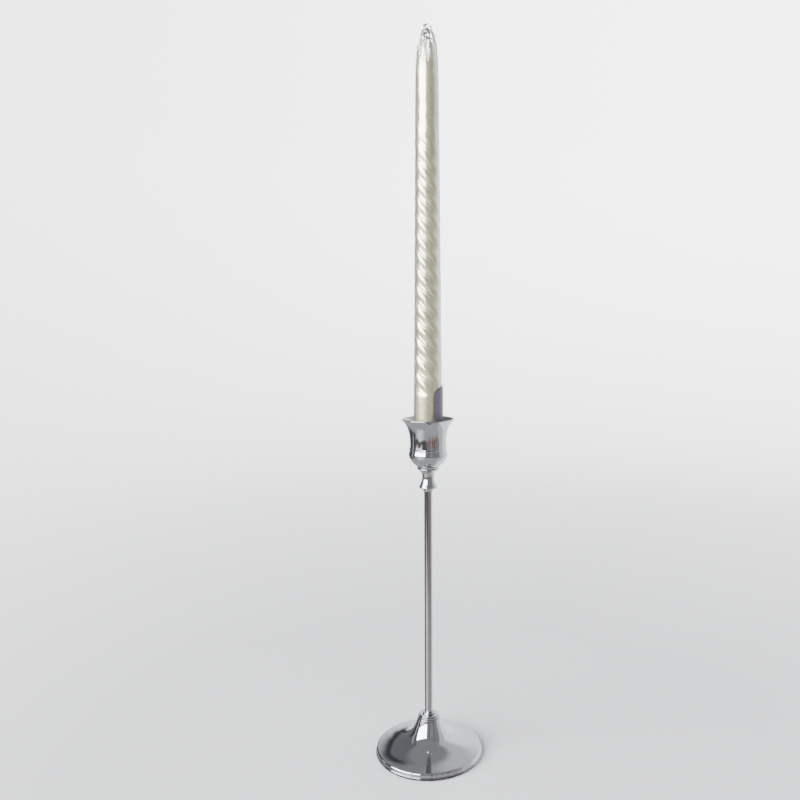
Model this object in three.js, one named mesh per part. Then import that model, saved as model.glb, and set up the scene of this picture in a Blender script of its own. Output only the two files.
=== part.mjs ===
// Silver taper candlestick holding a twisted candle in its clear wrap.
// Millimetres, +Z up. The origin is the centre of the pad's underside, on the axis that
// every piece shares. Each piece is drawn from its own lower face, z = 0, and set in place.

import * as THREE from 'three';

// ---- Driving dimensions ----

// Overall sizes
const holderHeight = 287;
const footDiameter = 90;
const stemDiameter = 6.8;
const candleLength = 327;
const candleDiameter = 22;

// Fits
const boreClearance = 0.2; // radial, round the rod and the wick
const stemClearance = 0.1; // radial, round the stem in its two sockets
const socketClearance = 0.5; // radial, round the candle in the cup
const seatGap = 0.3; // between pieces that lie close without carrying load
const filmGap = 0.35; // radial, between the candle's ribs and the film

// Foot
const padThickness = 1.5;
const padInset = 0.9;
const footHeight = 29.1;
const footWall = 1.2;
const bandHeight = 4.8;
const bandRound = 1.5;
const beadHeight = 1.2;
const beadProud = 0.6;
const neckRadius = 9.4;
const flareFalloff = 1.2; // the flare's height falls off as one over the radius to this power

// Weight inside the foot, recessed for the nut
const weightThickness = 3;
const weightHubWall = 4;
const weightHubWeb = 4.2;
const weightHubFillet = 3;
const weightHubChamfer = 1;
const recessRoom = 2.5; // round the washer
const recessHeadroom = 1.4; // past the rod's end

// Collar rings from the lowest up: how far each is set in from the neck, and its height
const collarRings = [
  { setIn: 0, height: 1.2 },
  { setIn: 0.7, height: 1.5 },
  { setIn: 1.4, height: 1.3 },
];
const bossWall = 1.8;
const bossHeight = 1.2;
const collarWeb = 1.2;
const ringRound = 0.4;

// Stem and rod
const stemBoreGap = 0.5; // radial, between the rod and the stem's bore
const rodDiameter = 4;
const rodProudOfNut = 0.7;

// Knop, the waisted piece between stem and cup
const knopHeight = 19.2;
const knopSocketDepth = 6;
const noseWall = 0.7;
const bellRadius = 7.5;
const bellLipHeight = 3.3;
const bellLipRound = 0.7;
const waistWall = 2.7;
const waistHeight = 11;
const flangeRadius = 9;
const flangeHeight = 1.1;
// How the knop's curves are drawn out
const bellMouth = { flare: 0.5, depth: 1.3 };
const bellTuck = 0.1;
const waistStretch = 1.4;
const flangeSweep = { setIn: 1.2, pullOut: 0.9, pullDown: 1.9 };

// Cup, from the socket's wall outwards
const cupHeight = 41;
const socketDepth = 24;
const throatWall = 3.3;
const throatHeight = 21.5;
const rimFlare = 6.7; // from the throat out to the rim
const lipThickness = 0.9;
const flareDepth = 13.5;
const bowlProud = 1.2; // of the throat
const bowlHeight = 11;
const cupFootSetIn = 0.2; // from the knop's flange
const ringLineHeight = 15.9;
const ringLineProud = 0.25;
const ringLineHalfHeight = 0.2;
const ringGroove = { setIn: 0.2, halfHeight: 0.5 };
// How the cup's curves are drawn out
const shoulder = { setIn: 3, height: 5, pullIn: 1.2, pullDown: 4.3, pullBack: 2 };
const bowlTop = { pullUp: 1.6, pullOut: 0.1, pullDown: 1.2 };
const rimSweep = { pullUp: 7.5, pullIn: 4.5, pullDown: 4.5 };
const mouthSweep = { pullIn: 3.4, pullDown: 4.2, pullOut: 0.9, pullUp: 6 };
const rimEdge = { height: 0.7, bevelIn: 0.25, bevelDown: 0.1 };

// Nuts and washers for the rod
const nutWall = 1.5;
const nutHeight = 3.2;
const nutBoreClearance = 0.08;
const footWasher = { width: 3.8, thickness: 0.8 };
const lockWasher = { width: 1.6, thickness: 1.1, splitAngle: 0.2 };
const cupWasher = { width: 2.3, thickness: 0.8 };

// Candle: four ribs wound left-handed, plain at the butt and fading out at the tip
const ribCount = 4;
const ribLead = 55.6;
const ribDepth = 0.9;
const plainAboveRim = 18;
const ribFadeLength = 8;
const barrelTaperRatio = 0.8;
const tipLength = 32;
const tipFlatRadius = 1.8;
const tipCurve = { along: 1.6, across: 0.8 }; // how blunt the tip is along and across
const wickDiameter = 1.8;
const wickProud = 4;

// Clear film and the blank label stuck on it
const filmWall = 0.3;
const filmLooseness = 0.4; // extra radius at the open hem
const filmHemBelowRim = 2.5;
const filmShoulderRadius = 6.3; // where the film leaves the wax at the tip
const filmCrownRadius = 4;
const filmTopHeadroom = 2.2;
const filmShoulderRise = 1; // above the end of the wax
const filmShoulderBulge = 0.6;
const labelHeight = 24;
const labelRise = 8;
const labelStart = -62; // degrees round from +X
const labelSweep = 66;
const labelThickness = 0.2;
const labelGap = 0.3;

// Facets round each kind of piece
const wideSides = 40;
const middleSides = 28;
const smallSides = 20;
const ribSides = 16;

// ---- Sizes and levels that follow from the driving dimensions ----

const stemRadius = stemDiameter / 2;
const rodRadius = rodDiameter / 2;
const rodHoleRadius = rodRadius + boreClearance;
const stemSocketRadius = stemRadius + stemClearance;
const socketRadius = candleDiameter / 2 + socketClearance;
const throatRadius = socketRadius + throatWall;
const bowlRadius = throatRadius + bowlProud;
const rimRadius = throatRadius + rimFlare;

const nutAcrossFlats = 2 * (rodRadius + nutWall);
const recessRadius = rodHoleRadius + footWasher.width + recessRoom;
const recessDepth = footWasher.thickness + lockWasher.thickness + nutHeight + rodProudOfNut + recessHeadroom;
const pocketRadius = rodHoleRadius + cupWasher.width + seatGap;
const pocketDepth = cupWasher.thickness + nutHeight + rodProudOfNut + seatGap;

const buttPlainLength = socketDepth + plainAboveRim;
const filmHemHeight = socketDepth - filmHemBelowRim;

const footLevel = padThickness;
const weightLevel = footLevel + seatGap;
const collarLevel = footLevel + footHeight;
const stemSeatLevel = collarLevel + collarWeb;
const cupLevel = holderHeight - cupHeight;
const knopLevel = cupLevel - knopHeight;
const stemTopLevel = knopLevel + knopSocketDepth;
const candleLevel = holderHeight - socketDepth;

const footWasherLevel = weightLevel + recessDepth - footWasher.thickness;
const lockWasherLevel = footWasherLevel - lockWasher.thickness;
const footNutLevel = lockWasherLevel - nutHeight;
const rodBottomLevel = footNutLevel - rodProudOfNut;
const cupWasherLevel = candleLevel - pocketDepth;
const cupNutLevel = cupWasherLevel + cupWasher.thickness;
const rodTopLevel = cupNutLevel + nutHeight + rodProudOfNut;

// ---- Materials ----

const chrome = (name) => new THREE.MeshStandardMaterial({ name, color: 0xd4d6da, roughness: 0.08, metalness: 1 });
const steel = (name) => new THREE.MeshStandardMaterial({ name, color: 0x9a9ca0, roughness: 0.4, metalness: 0.9 });
const finishes = {
  foam: new THREE.MeshStandardMaterial({ name: 'foam', color: 0x17181a, roughness: 0.9, metalness: 0 }),
  iron: new THREE.MeshStandardMaterial({ name: 'iron', color: 0x3c3c3e, roughness: 0.7, metalness: 0.7 }),
  wax: new THREE.MeshStandardMaterial({ name: 'wax', color: 0xd9d8c8, roughness: 0.3, metalness: 0.3 }),
  cotton: new THREE.MeshStandardMaterial({ name: 'cotton', color: 0xe9e4d6, roughness: 0.9, metalness: 0 }),
  film: new THREE.MeshStandardMaterial({
    name: 'film', color: 0xf4f6f7, roughness: 0.1, metalness: 0, transparent: true, opacity: 0.25,
  }),
  paper: new THREE.MeshStandardMaterial({ name: 'paper', color: 0x62566a, roughness: 0.6, metalness: 0 }),
};

// ---- Shape helpers ----

const point = (radius, height) => new THREE.Vector2(radius, height);

// A solid turned about Z. The outline holds (radius, height) points and runs up the outside
// and down the inside. It starts and ends on the axis, or is closed here into a ring.
function turned(outline, sides) {
  const onAxis = outline[0].x === 0;
  const points = onAxis ? outline : [...outline, outline[0].clone()];
  const geometry = new THREE.LatheGeometry(points, sides);
  geometry.rotateX(Math.PI / 2);
  return geometry;
}

// Points along a cubic curve, both ends included.
function curve(start, pullStart, pullEnd, end, steps) {
  return new THREE.CubicBezierCurve(start, pullStart, pullEnd, end).getPoints(steps);
}

// Points round a quarter or other part of a circle, both ends included. Angles are in degrees.
function arc(centre, radius, from, to, steps) {
  return Array.from({ length: steps + 1 }, (_, i) => {
    const angle = THREE.MathUtils.degToRad(from + ((to - from) * i) / steps);
    return point(centre.x + radius * Math.cos(angle), centre.y + radius * Math.sin(angle));
  });
}

// The outer points of a turned ring whose two edges are rounded.
function roundedRing(radius, bottom, top, round) {
  return [
    ...arc(point(radius - round, bottom + round), round, -90, 0, 2),
    ...arc(point(radius - round, top - round), round, 0, 90, 2),
  ];
}

// A plain ring with square edges.
function flatRing(innerRadius, outerRadius, height, sides) {
  return turned(
    [point(innerRadius, 0), point(outerRadius, 0), point(outerRadius, height), point(innerRadius, height)],
    sides,
  );
}

// A closed skin over a list of rings of points, each joined to the next and the last to the first.
function skinned(rings) {
  const count = rings[0].length;
  const positions = rings.flat().flatMap((p) => [p.x, p.y, p.z]);
  const index = [];
  rings.forEach((_, i) => {
    const low = i * count;
    const high = ((i + 1) % rings.length) * count;
    for (let j = 0; j < count; j += 1) {
      const next = (j + 1) % count;
      index.push(low + j, low + next, high + j, low + next, high + next, high + j);
    }
  });
  const geometry = new THREE.BufferGeometry();
  geometry.setAttribute('position', new THREE.Float32BufferAttribute(positions, 3));
  geometry.setIndex(index);
  geometry.computeVertexNormals();
  return geometry;
}

// ---- Foot ----

const bandRadius = footDiameter / 2 - beadProud;
const flareEdgeRadius = bandRadius - bandRound;

// Height of the foot's top surface at a radius.
function flareHeight(radius) {
  const share = (r) => (neckRadius / r) ** flareFalloff;
  const atEdge = share(flareEdgeRadius);
  return bandHeight + ((footHeight - bandHeight) * (share(radius) - atEdge)) / (1 - atEdge);
}

function flareSlope(radius) {
  const atEdge = (neckRadius / flareEdgeRadius) ** flareFalloff;
  const share = (neckRadius / radius) ** flareFalloff;
  return (-flareFalloff * (footHeight - bandHeight) * share) / (radius * (1 - atEdge));
}

function footShell() {
  const flareSteps = 16;
  const radii = Array.from({ length: flareSteps + 1 }, (_, i) =>
    flareEdgeRadius * (neckRadius / flareEdgeRadius) ** (i / flareSteps));
  const flare = radii.map((r) => point(r, flareHeight(r)));
  const webUnderside = footHeight - footWall;
  const underFlare = radii
    .filter((_, i) => i % 2 === 0)
    .map((r) => {
      const slope = flareSlope(r);
      const run = Math.hypot(1, slope);
      return point(r + (slope * footWall) / run, flareHeight(r) - footWall / run);
    })
    .filter((p) => p.y < webUnderside - footWall / 2)
    .reverse();
  const webEdge = point(underFlare[0].x - footWall / 6, webUnderside);
  const skirtRadius = bandRadius - footWall;
  const outline = [
    point(skirtRadius, 0),
    ...roundedRing(footDiameter / 2, 0, beadHeight, beadHeight / 3),
    point(bandRadius, beadHeight),
    ...arc(point(flareEdgeRadius, bandHeight - bandRound), bandRound, 0, 90, 4).slice(0, -1),
    ...flare,
    point(rodHoleRadius, footHeight),
    point(rodHoleRadius, webUnderside),
    webEdge,
    ...underFlare,
    point(skirtRadius, bandHeight - bandRound),
  ];
  return turned(outline, wideSides);
}

function basePad() {
  const radius = footDiameter / 2 - padInset;
  return turned([point(0, 0), point(radius, 0), point(radius, padThickness), point(0, padThickness)], wideSides);
}

function weightDisc() {
  const radius = bandRadius - footWall - 2 * seatGap;
  const hubRadius = recessRadius + weightHubWall;
  const hubHeight = recessDepth + weightHubWeb;
  return turned([
    point(recessRadius, 0),
    point(radius, 0),
    point(radius, weightThickness - seatGap),
    point(hubRadius + weightHubFillet, weightThickness),
    point(hubRadius, weightThickness + weightHubFillet),
    point(hubRadius - weightHubChamfer, hubHeight),
    point(rodHoleRadius, hubHeight),
    point(rodHoleRadius, recessDepth),
    point(recessRadius, recessDepth),
  ], middleSides);
}

// ---- Collar, stem and rod ----

function footCollar() {
  const outline = [point(rodHoleRadius, 0)];
  let bottom = 0;
  for (const ring of collarRings) {
    outline.push(...roundedRing(neckRadius - ring.setIn, bottom, bottom + ring.height, ringRound));
    bottom += ring.height;
  }
  outline.push(...roundedRing(stemSocketRadius + bossWall, bottom, bottom + bossHeight, ringRound));
  bottom += bossHeight;
  outline.push(point(stemSocketRadius, bottom), point(stemSocketRadius, collarWeb), point(rodHoleRadius, collarWeb));
  return turned(outline, middleSides);
}

function stemTube() {
  return flatRing(rodRadius + stemBoreGap, stemRadius, stemTopLevel - stemSeatLevel, smallSides);
}

function tieRod() {
  const radius = rodRadius;
  const length = rodTopLevel - rodBottomLevel;
  const chamfer = radius / 4;
  return turned([
    point(0, 0),
    point(radius - chamfer, 0),
    point(radius, chamfer),
    point(radius, length - chamfer),
    point(radius - chamfer, length),
    point(0, length),
  ], smallSides);
}

// ---- Nuts and washers ----

function washer({ width, thickness }) {
  return flatRing(rodHoleRadius, rodHoleRadius + width, thickness, smallSides);
}

// A ring with a cut through one side, as a split lock washer has.
function splitWasher({ width, thickness, splitAngle }) {
  const shape = new THREE.Shape();
  shape.absarc(0, 0, rodHoleRadius + width, splitAngle / 2, 2 * Math.PI - splitAngle / 2, false);
  shape.absarc(0, 0, rodHoleRadius, 2 * Math.PI - splitAngle / 2, splitAngle / 2, true);
  return new THREE.ExtrudeGeometry(shape, { depth: thickness, bevelEnabled: false, curveSegments: smallSides });
}

function hexNut() {
  const cornerRadius = nutAcrossFlats / Math.sqrt(3);
  const corners = Array.from({ length: 6 }, (_, i) => {
    const angle = (i * Math.PI) / 3;
    return point(cornerRadius * Math.cos(angle), cornerRadius * Math.sin(angle));
  });
  const shape = new THREE.Shape(corners);
  const bore = new THREE.Path();
  bore.absarc(0, 0, rodRadius + nutBoreClearance, 0, 2 * Math.PI, true);
  shape.holes.push(bore);
  return new THREE.ExtrudeGeometry(shape, { depth: nutHeight, bevelEnabled: false, curveSegments: smallSides });
}

// ---- Knop ----

function knop() {
  const noseRadius = stemSocketRadius + noseWall;
  const waistRadius = rodHoleRadius + waistWall;
  const lipCentre = point(bellRadius - bellLipRound, bellLipHeight);
  const waist = point(waistRadius, waistHeight);
  const lipTop = point(bellRadius, bellLipHeight + bellLipRound / 2);
  const flangeBottom = knopHeight - flangeHeight;
  const flankPull = (waistHeight - bellLipHeight) / 3;
  const neckPull = (flangeBottom - waistHeight) / 2;
  const outline = [
    point(stemSocketRadius, 0),
    point(noseRadius, 0),
    point(noseRadius + bellMouth.flare, bellLipHeight - bellMouth.depth),
    ...arc(lipCentre, bellLipRound, -90, -20, 3),
    ...curve(lipTop, point(bellRadius - bellTuck, lipTop.y + flankPull),
      point(waistRadius, waistHeight - flankPull * waistStretch), waist, 8),
    ...curve(waist, point(waistRadius, waistHeight + neckPull),
      point(waistRadius + flangeSweep.pullOut, flangeBottom - flangeSweep.pullDown),
      point(flangeRadius - flangeSweep.setIn, flangeBottom), 7).slice(1),
    ...arc(point(flangeRadius - flangeHeight / 2, knopHeight - flangeHeight / 2), flangeHeight / 2, -45, 90, 4),
    point(rodHoleRadius, knopHeight),
    point(rodHoleRadius, knopSocketDepth),
    point(stemSocketRadius, knopSocketDepth),
  ];
  return turned(outline, middleSides);
}

// ---- Cup ----

function candleCup() {
  const floor = cupHeight - socketDepth;
  const pocketFloor = floor - pocketDepth;
  const flareBottom = cupHeight - flareDepth;
  const bowlStart = point(bowlRadius - shoulder.setIn, shoulder.height);
  const bowl = point(bowlRadius, bowlHeight);
  const lineRadius = (bowlRadius + throatRadius) / 2;
  const groove = point(lineRadius - ringGroove.setIn, ringLineHeight - ringGroove.halfHeight);
  const throat = point(throatRadius, throatHeight);
  const rim = point(rimRadius, cupHeight - rimEdge.height);
  const lipInside = point(rimRadius - lipThickness, cupHeight);
  const outline = [
    point(rodHoleRadius, 0),
    point(flangeRadius - cupFootSetIn, 0),
    ...curve(bowlStart, point(bowlRadius - shoulder.pullIn, bowlHeight - shoulder.pullDown),
      point(bowlRadius, bowlHeight - shoulder.pullBack), bowl, 6),
    ...curve(bowl, point(bowlRadius, bowlHeight + bowlTop.pullUp),
      point(groove.x + bowlTop.pullOut, groove.y - bowlTop.pullDown), groove, 4).slice(1),
    point(groove.x + ringLineProud, ringLineHeight - ringLineHalfHeight),
    point(groove.x + ringLineProud, ringLineHeight + ringLineHalfHeight),
    point(groove.x - ringGroove.setIn, ringLineHeight + ringGroove.halfHeight),
    ...curve(throat, point(throatRadius, throatHeight + rimSweep.pullUp),
      point(rimRadius - rimSweep.pullIn, cupHeight - rimSweep.pullDown), rim, 10),
    point(rimRadius - rimEdge.bevelIn, cupHeight - rimEdge.bevelDown),
    ...curve(lipInside, point(lipInside.x - mouthSweep.pullIn, cupHeight - mouthSweep.pullDown),
      point(socketRadius + mouthSweep.pullOut, flareBottom + mouthSweep.pullUp),
      point(socketRadius, flareBottom), 8),
    point(socketRadius, floor),
    point(pocketRadius, floor),
    point(pocketRadius, pocketFloor),
    point(rodHoleRadius, pocketFloor),
  ];
  return turned(outline, wideSides);
}

// ---- Candle, wick, film and label ----

// Radius over the ribs at a height above the candle's butt.
function crestRadius(height) {
  const taperStart = buttPlainLength;
  const taperEnd = candleLength - tipLength;
  const along = THREE.MathUtils.clamp((height - taperStart) / (taperEnd - taperStart), 0, 1);
  const barrel = (candleDiameter / 2) * THREE.MathUtils.lerp(1, barrelTaperRatio, along);
  const intoTip = THREE.MathUtils.clamp((height - taperEnd) / tipLength, 0, 1);
  return tipFlatRadius + (barrel - tipFlatRadius) * (1 - intoTip ** tipCurve.along) ** tipCurve.across;
}

// Share of the full rib depth at a height above the butt.
function ribShare(height) {
  const start = THREE.MathUtils.smoothstep(height, buttPlainLength, buttPlainLength + ribFadeLength);
  const tipStart = candleLength - tipLength;
  const end = 1 - THREE.MathUtils.smoothstep(height, tipStart, candleLength - tipLength / 4);
  return start * end;
}

// A ring of points round the axis, with its radius given as a function of the angle.
function ringOfPoints(height, radiusAt) {
  return Array.from({ length: ribSides }, (_, i) => {
    const angle = (2 * Math.PI * i) / ribSides;
    return new THREE.Vector3(radiusAt(angle) * Math.cos(angle), radiusAt(angle) * Math.sin(angle), height);
  });
}

// One ring of the candle's skin. The ribs turn clockwise as they climb, seen from above.
function ribbedRing(height) {
  const turn = (-2 * Math.PI * height) / ribLead;
  const depth = ribDepth * ribShare(height);
  return ringOfPoints(height, (angle) =>
    crestRadius(height) - depth * (1 - Math.abs(Math.sin((ribCount * (angle - turn)) / 2))));
}

// The rings are spaced so that a rib moves on by one point from each ring to the next.
function candle() {
  const spacing = ribLead / ribSides;
  const heights = [0];
  for (let height = Math.ceil(buttPlainLength / spacing) * spacing; height < candleLength; height += spacing) {
    heights.push(height);
  }
  heights.push(candleLength);
  const bore = (height) => ringOfPoints(height, () => wickDiameter / 2 + boreClearance);
  return skinned([...heights.map(ribbedRing), bore(candleLength), bore(0)]);
}

function wick() {
  return turned([
    point(0, 0),
    point(wickDiameter / 2, 0),
    point(wickDiameter / 2, candleLength + wickProud),
    point(0, candleLength + wickProud),
  ], 8);
}

// Inner radius of the film where it follows the ribs, at a height above the candle's butt.
function filmRadius(height) {
  const loose = THREE.MathUtils.clamp(1 - (height - filmHemHeight) / (2 * buttPlainLength), 0, 1);
  return crestRadius(height) + filmGap + filmLooseness * loose;
}

// A thin sleeve, open at its lower hem and drawn closed over the wick.
function filmSleeve() {
  const tipStart = candleLength - tipLength;
  const crownHeight = candleLength + wickProud + filmTopHeadroom;
  const barrelHeights = [0, 1, 2, 3, 4, 5, 6].map((i) =>
    THREE.MathUtils.lerp(filmHemHeight, tipStart, i / 6));
  const inside = [
    ...barrelHeights.map((h) => point(filmRadius(h), h)),
    point((filmRadius(tipStart) + filmShoulderRadius) / 2 + filmShoulderBulge, candleLength - tipLength / 3),
    point(filmShoulderRadius, candleLength + filmShoulderRise),
    point(filmCrownRadius, crownHeight - filmWall),
  ].map((p) => point(p.x, p.y - filmHemHeight));
  const outside = inside.map((p) => point(p.x + filmWall, p.y));
  outside[outside.length - 1].y += filmWall;
  const crown = inside[inside.length - 1].y;
  return turned([point(0, crown), ...[...inside].reverse(), ...outside, point(0, crown + filmWall)], middleSides);
}

// A strip bent round the film, with its upper edge cut on a slant.
function label() {
  const radius = filmRadius(filmHemHeight) + filmWall + labelGap;
  const from = THREE.MathUtils.degToRad(labelStart);
  const to = THREE.MathUtils.degToRad(labelStart + labelSweep);
  const shape = new THREE.Shape();
  shape.absarc(0, 0, radius + labelThickness, from, to, false);
  shape.absarc(0, 0, radius, to, from, true);
  const geometry = new THREE.ExtrudeGeometry(shape, { depth: labelHeight, bevelEnabled: false, curveSegments: 10 });
  const position = geometry.attributes.position;
  for (let i = 0; i < position.count; i += 1) {
    if (position.getZ(i) > labelHeight / 2) {
      const along = (Math.atan2(position.getY(i), position.getX(i)) - from) / (to - from);
      position.setZ(i, labelHeight + labelRise * along);
    }
  }
  return geometry;
}

// ---- Assembly ----

const group = new THREE.Group();
const holder = new THREE.Group();
const candleGroup = new THREE.Group();
const wrapGroup = new THREE.Group();
candleGroup.position.z = candleLevel;
wrapGroup.position.z = filmHemHeight;
group.add(holder);
holder.add(candleGroup);
candleGroup.add(wrapGroup);

function place(parent, name, geometry, material, level) {
  const mesh = new THREE.Mesh(geometry, material);
  mesh.name = name;
  mesh.position.z = level;
  parent.add(mesh);
}

place(holder, 'base_pad', basePad(), finishes.foam, 0);
place(holder, 'foot_shell', footShell(), chrome('foot_chrome'), footLevel);
place(holder, 'weight_disc', weightDisc(), finishes.iron, weightLevel);
place(holder, 'foot_washer', washer(footWasher), steel('foot_washer_steel'), footWasherLevel);
place(holder, 'foot_lock_washer', splitWasher(lockWasher), steel('lock_washer_steel'), lockWasherLevel);
place(holder, 'foot_nut', hexNut(), steel('foot_nut_steel'), footNutLevel);
place(holder, 'foot_collar', footCollar(), chrome('collar_chrome'), collarLevel);
place(holder, 'stem_tube', stemTube(), chrome('stem_chrome'), stemSeatLevel);
place(holder, 'tie_rod', tieRod(), steel('rod_steel'), rodBottomLevel);
place(holder, 'knop', knop(), chrome('knop_chrome'), knopLevel);
place(holder, 'candle_cup', candleCup(), chrome('cup_chrome'), cupLevel);
place(holder, 'cup_washer', washer(cupWasher), steel('cup_washer_steel'), cupWasherLevel);
place(holder, 'cup_nut', hexNut(), steel('cup_nut_steel'), cupNutLevel);
place(candleGroup, 'candle', candle(), finishes.wax, 0);
place(candleGroup, 'wick', wick(), finishes.cotton, 0);
place(wrapGroup, 'film_sleeve', filmSleeve(), finishes.film, 0);
place(wrapGroup, 'label', label(), finishes.paper, 0);

export default group;
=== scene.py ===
"""Looks for the silver candlestick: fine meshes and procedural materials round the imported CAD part."""

import math

import bpy
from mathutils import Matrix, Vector, noise


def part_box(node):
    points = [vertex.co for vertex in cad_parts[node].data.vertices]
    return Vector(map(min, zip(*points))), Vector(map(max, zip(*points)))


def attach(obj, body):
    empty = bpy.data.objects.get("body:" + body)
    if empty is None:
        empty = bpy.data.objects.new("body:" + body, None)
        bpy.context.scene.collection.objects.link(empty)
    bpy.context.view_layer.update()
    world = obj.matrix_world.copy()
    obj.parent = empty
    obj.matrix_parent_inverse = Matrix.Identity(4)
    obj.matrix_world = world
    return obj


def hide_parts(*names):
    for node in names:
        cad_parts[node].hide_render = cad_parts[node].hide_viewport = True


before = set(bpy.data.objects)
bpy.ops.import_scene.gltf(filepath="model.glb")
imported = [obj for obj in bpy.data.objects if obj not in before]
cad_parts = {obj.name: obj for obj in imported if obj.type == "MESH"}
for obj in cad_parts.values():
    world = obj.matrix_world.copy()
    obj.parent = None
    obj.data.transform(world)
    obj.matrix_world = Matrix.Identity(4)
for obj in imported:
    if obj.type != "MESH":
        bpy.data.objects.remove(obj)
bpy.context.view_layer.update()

MM = 0.001
scene = bpy.context.scene


# ---- Places and sizes that come from the CAD nodes, in millimetres ----

def span(node):
    """Lowest height, highest height and outer radius of a CAD node."""
    low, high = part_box(node)
    return low.z / MM, high.z / MM, (high.x - low.x) / 2 / MM


PAD_LOW, PAD_TOP, PAD_RADIUS = span("base_pad")
FOOT_LOW, FOOT_TOP, FOOT_RADIUS = span("foot_shell")
COLLAR_LOW, _, COLLAR_RADIUS = span("foot_collar")
STEM_LOW, STEM_TOP, STEM_RADIUS = span("stem_tube")
KNOP_LOW, KNOP_TOP, FLANGE_RADIUS = span("knop")
CUP_LOW, CUP_TOP, RIM_RADIUS = span("candle_cup")
CANDLE_LOW, CANDLE_TOP, CANDLE_RADIUS = span("candle")
WICK_LOW, WICK_TOP, WICK_RADIUS = span("wick")
FILM_LOW, FILM_TOP, _ = span("film_sleeve")
LABEL_LOW, LABEL_TOP, _ = span("label")
ROD_RADIUS = span("tie_rod")[2]
POCKET_LOW, _, WASHER_RADIUS = span("cup_washer")

# Radial clearances of the hidden fits
ROD_HOLE_RADIUS = ROD_RADIUS + 0.2
STEM_SOCKET_RADIUS = STEM_RADIUS + 0.1
SOCKET_RADIUS = CANDLE_RADIUS + 0.5
POCKET_RADIUS = WASHER_RADIUS + 0.3


# ---- Mesh helpers. Points are (radius, height) in millimetres ----

def curve(start, pull_start, pull_end, end, steps):
    """Points along a cubic curve, its ends pulled towards the two points in the middle."""
    points = []
    for i in range(steps + 1):
        t = i / steps
        weights = ((1 - t) ** 3, 3 * (1 - t) ** 2 * t, 3 * (1 - t) * t * t, t ** 3)
        pulls = list(zip(weights, (start, pull_start, pull_end, end)))
        points.append(tuple(sum(w * p[axis] for w, p in pulls) for axis in (0, 1)))
    return points


def arc(centre, radius, start, end, steps):
    """Points along an arc between two angles in degrees."""
    points = []
    for i in range(steps + 1):
        angle = math.radians(start + (end - start) * i / steps)
        points.append((centre[0] + radius * math.cos(angle), centre[1] + radius * math.sin(angle)))
    return points


def rounded_ring(radius, low, high, edge, steps=6):
    """The outer side of a turned ring with both edges rounded."""
    return (arc((radius - edge, low + edge), edge, -90, 0, steps)
            + arc((radius - edge, high - edge), edge, 0, 90, steps))


def smoothstep(value, low, high):
    """0 below low, 1 above high, and a smooth rise between them."""
    t = min(max((value - low) / (high - low), 0.0), 1.0)
    return t * t * (3 - 2 * t)


def lerp(a, b, t):
    return a + (b - a) * t


def piece(name, vertices, faces, material, body, nodes, slot, sharp=32):
    """A piece that stands for the CAD nodes, from vertices in millimetres. Edges over the angle sharp,
    in degrees, are shaded as edges."""
    mesh = bpy.data.meshes.new(name)
    mesh.from_pydata([(x * MM, y * MM, z * MM) for x, y, z in vertices], [], faces)
    mesh.update()
    mesh.shade_smooth()
    mesh.set_sharp_from_angle(angle=math.radians(sharp))
    made = bpy.data.objects.new(name, mesh)
    scene.collection.objects.link(made)
    mesh.materials.append(material)
    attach(made, body)
    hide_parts(*nodes)


def turned(outline, segments):
    """Vertices and faces of a solid turned about Z. The outline runs up the outside and down the
    inside. It starts and ends on the axis, or is closed here into a ring."""
    vertices, rings = [], []
    for radius, height in outline:
        if radius == 0:
            add_pole(vertices, rings, segments, height)
        else:
            add_ring(vertices, rings, level_ring(radius, height, segments))
    if outline[0][0] > 0:
        rings.append(rings[0])
    return vertices, joined(rings)


def circle_angles(segments):
    """Angles of evenly spaced points round the axis."""
    return [2 * math.pi * j / segments for j in range(segments)]


def add_ring(vertices, rings, points):
    """Adds a ring of points to the vertices, and their numbers to the rings."""
    rings.append(list(range(len(vertices), len(vertices) + len(points))))
    vertices.extend(points)


def add_pole(vertices, rings, segments, height):
    """Adds a point on the axis that stands for a whole ring."""
    rings.append([len(vertices)] * segments)
    vertices.append((0, 0, height))


def level_ring(radius, height, segments):
    """Points of a round, level ring."""
    return [(radius * math.cos(angle), radius * math.sin(angle), height) for angle in circle_angles(segments)]


def joined(rings):
    """Faces between each ring of vertex numbers and the next, without doubled corners."""
    faces = []
    for low, high in zip(rings, rings[1:]):
        count = len(low)
        for j in range(count):
            k = (j + 1) % count
            corners = [low[j], low[k], high[k], high[j]]
            face = [c for i, c in enumerate(corners) if c != corners[i - 1]]
            if len(face) > 2:
                faces.append(face)
    return faces


# ---- Materials ----

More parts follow.
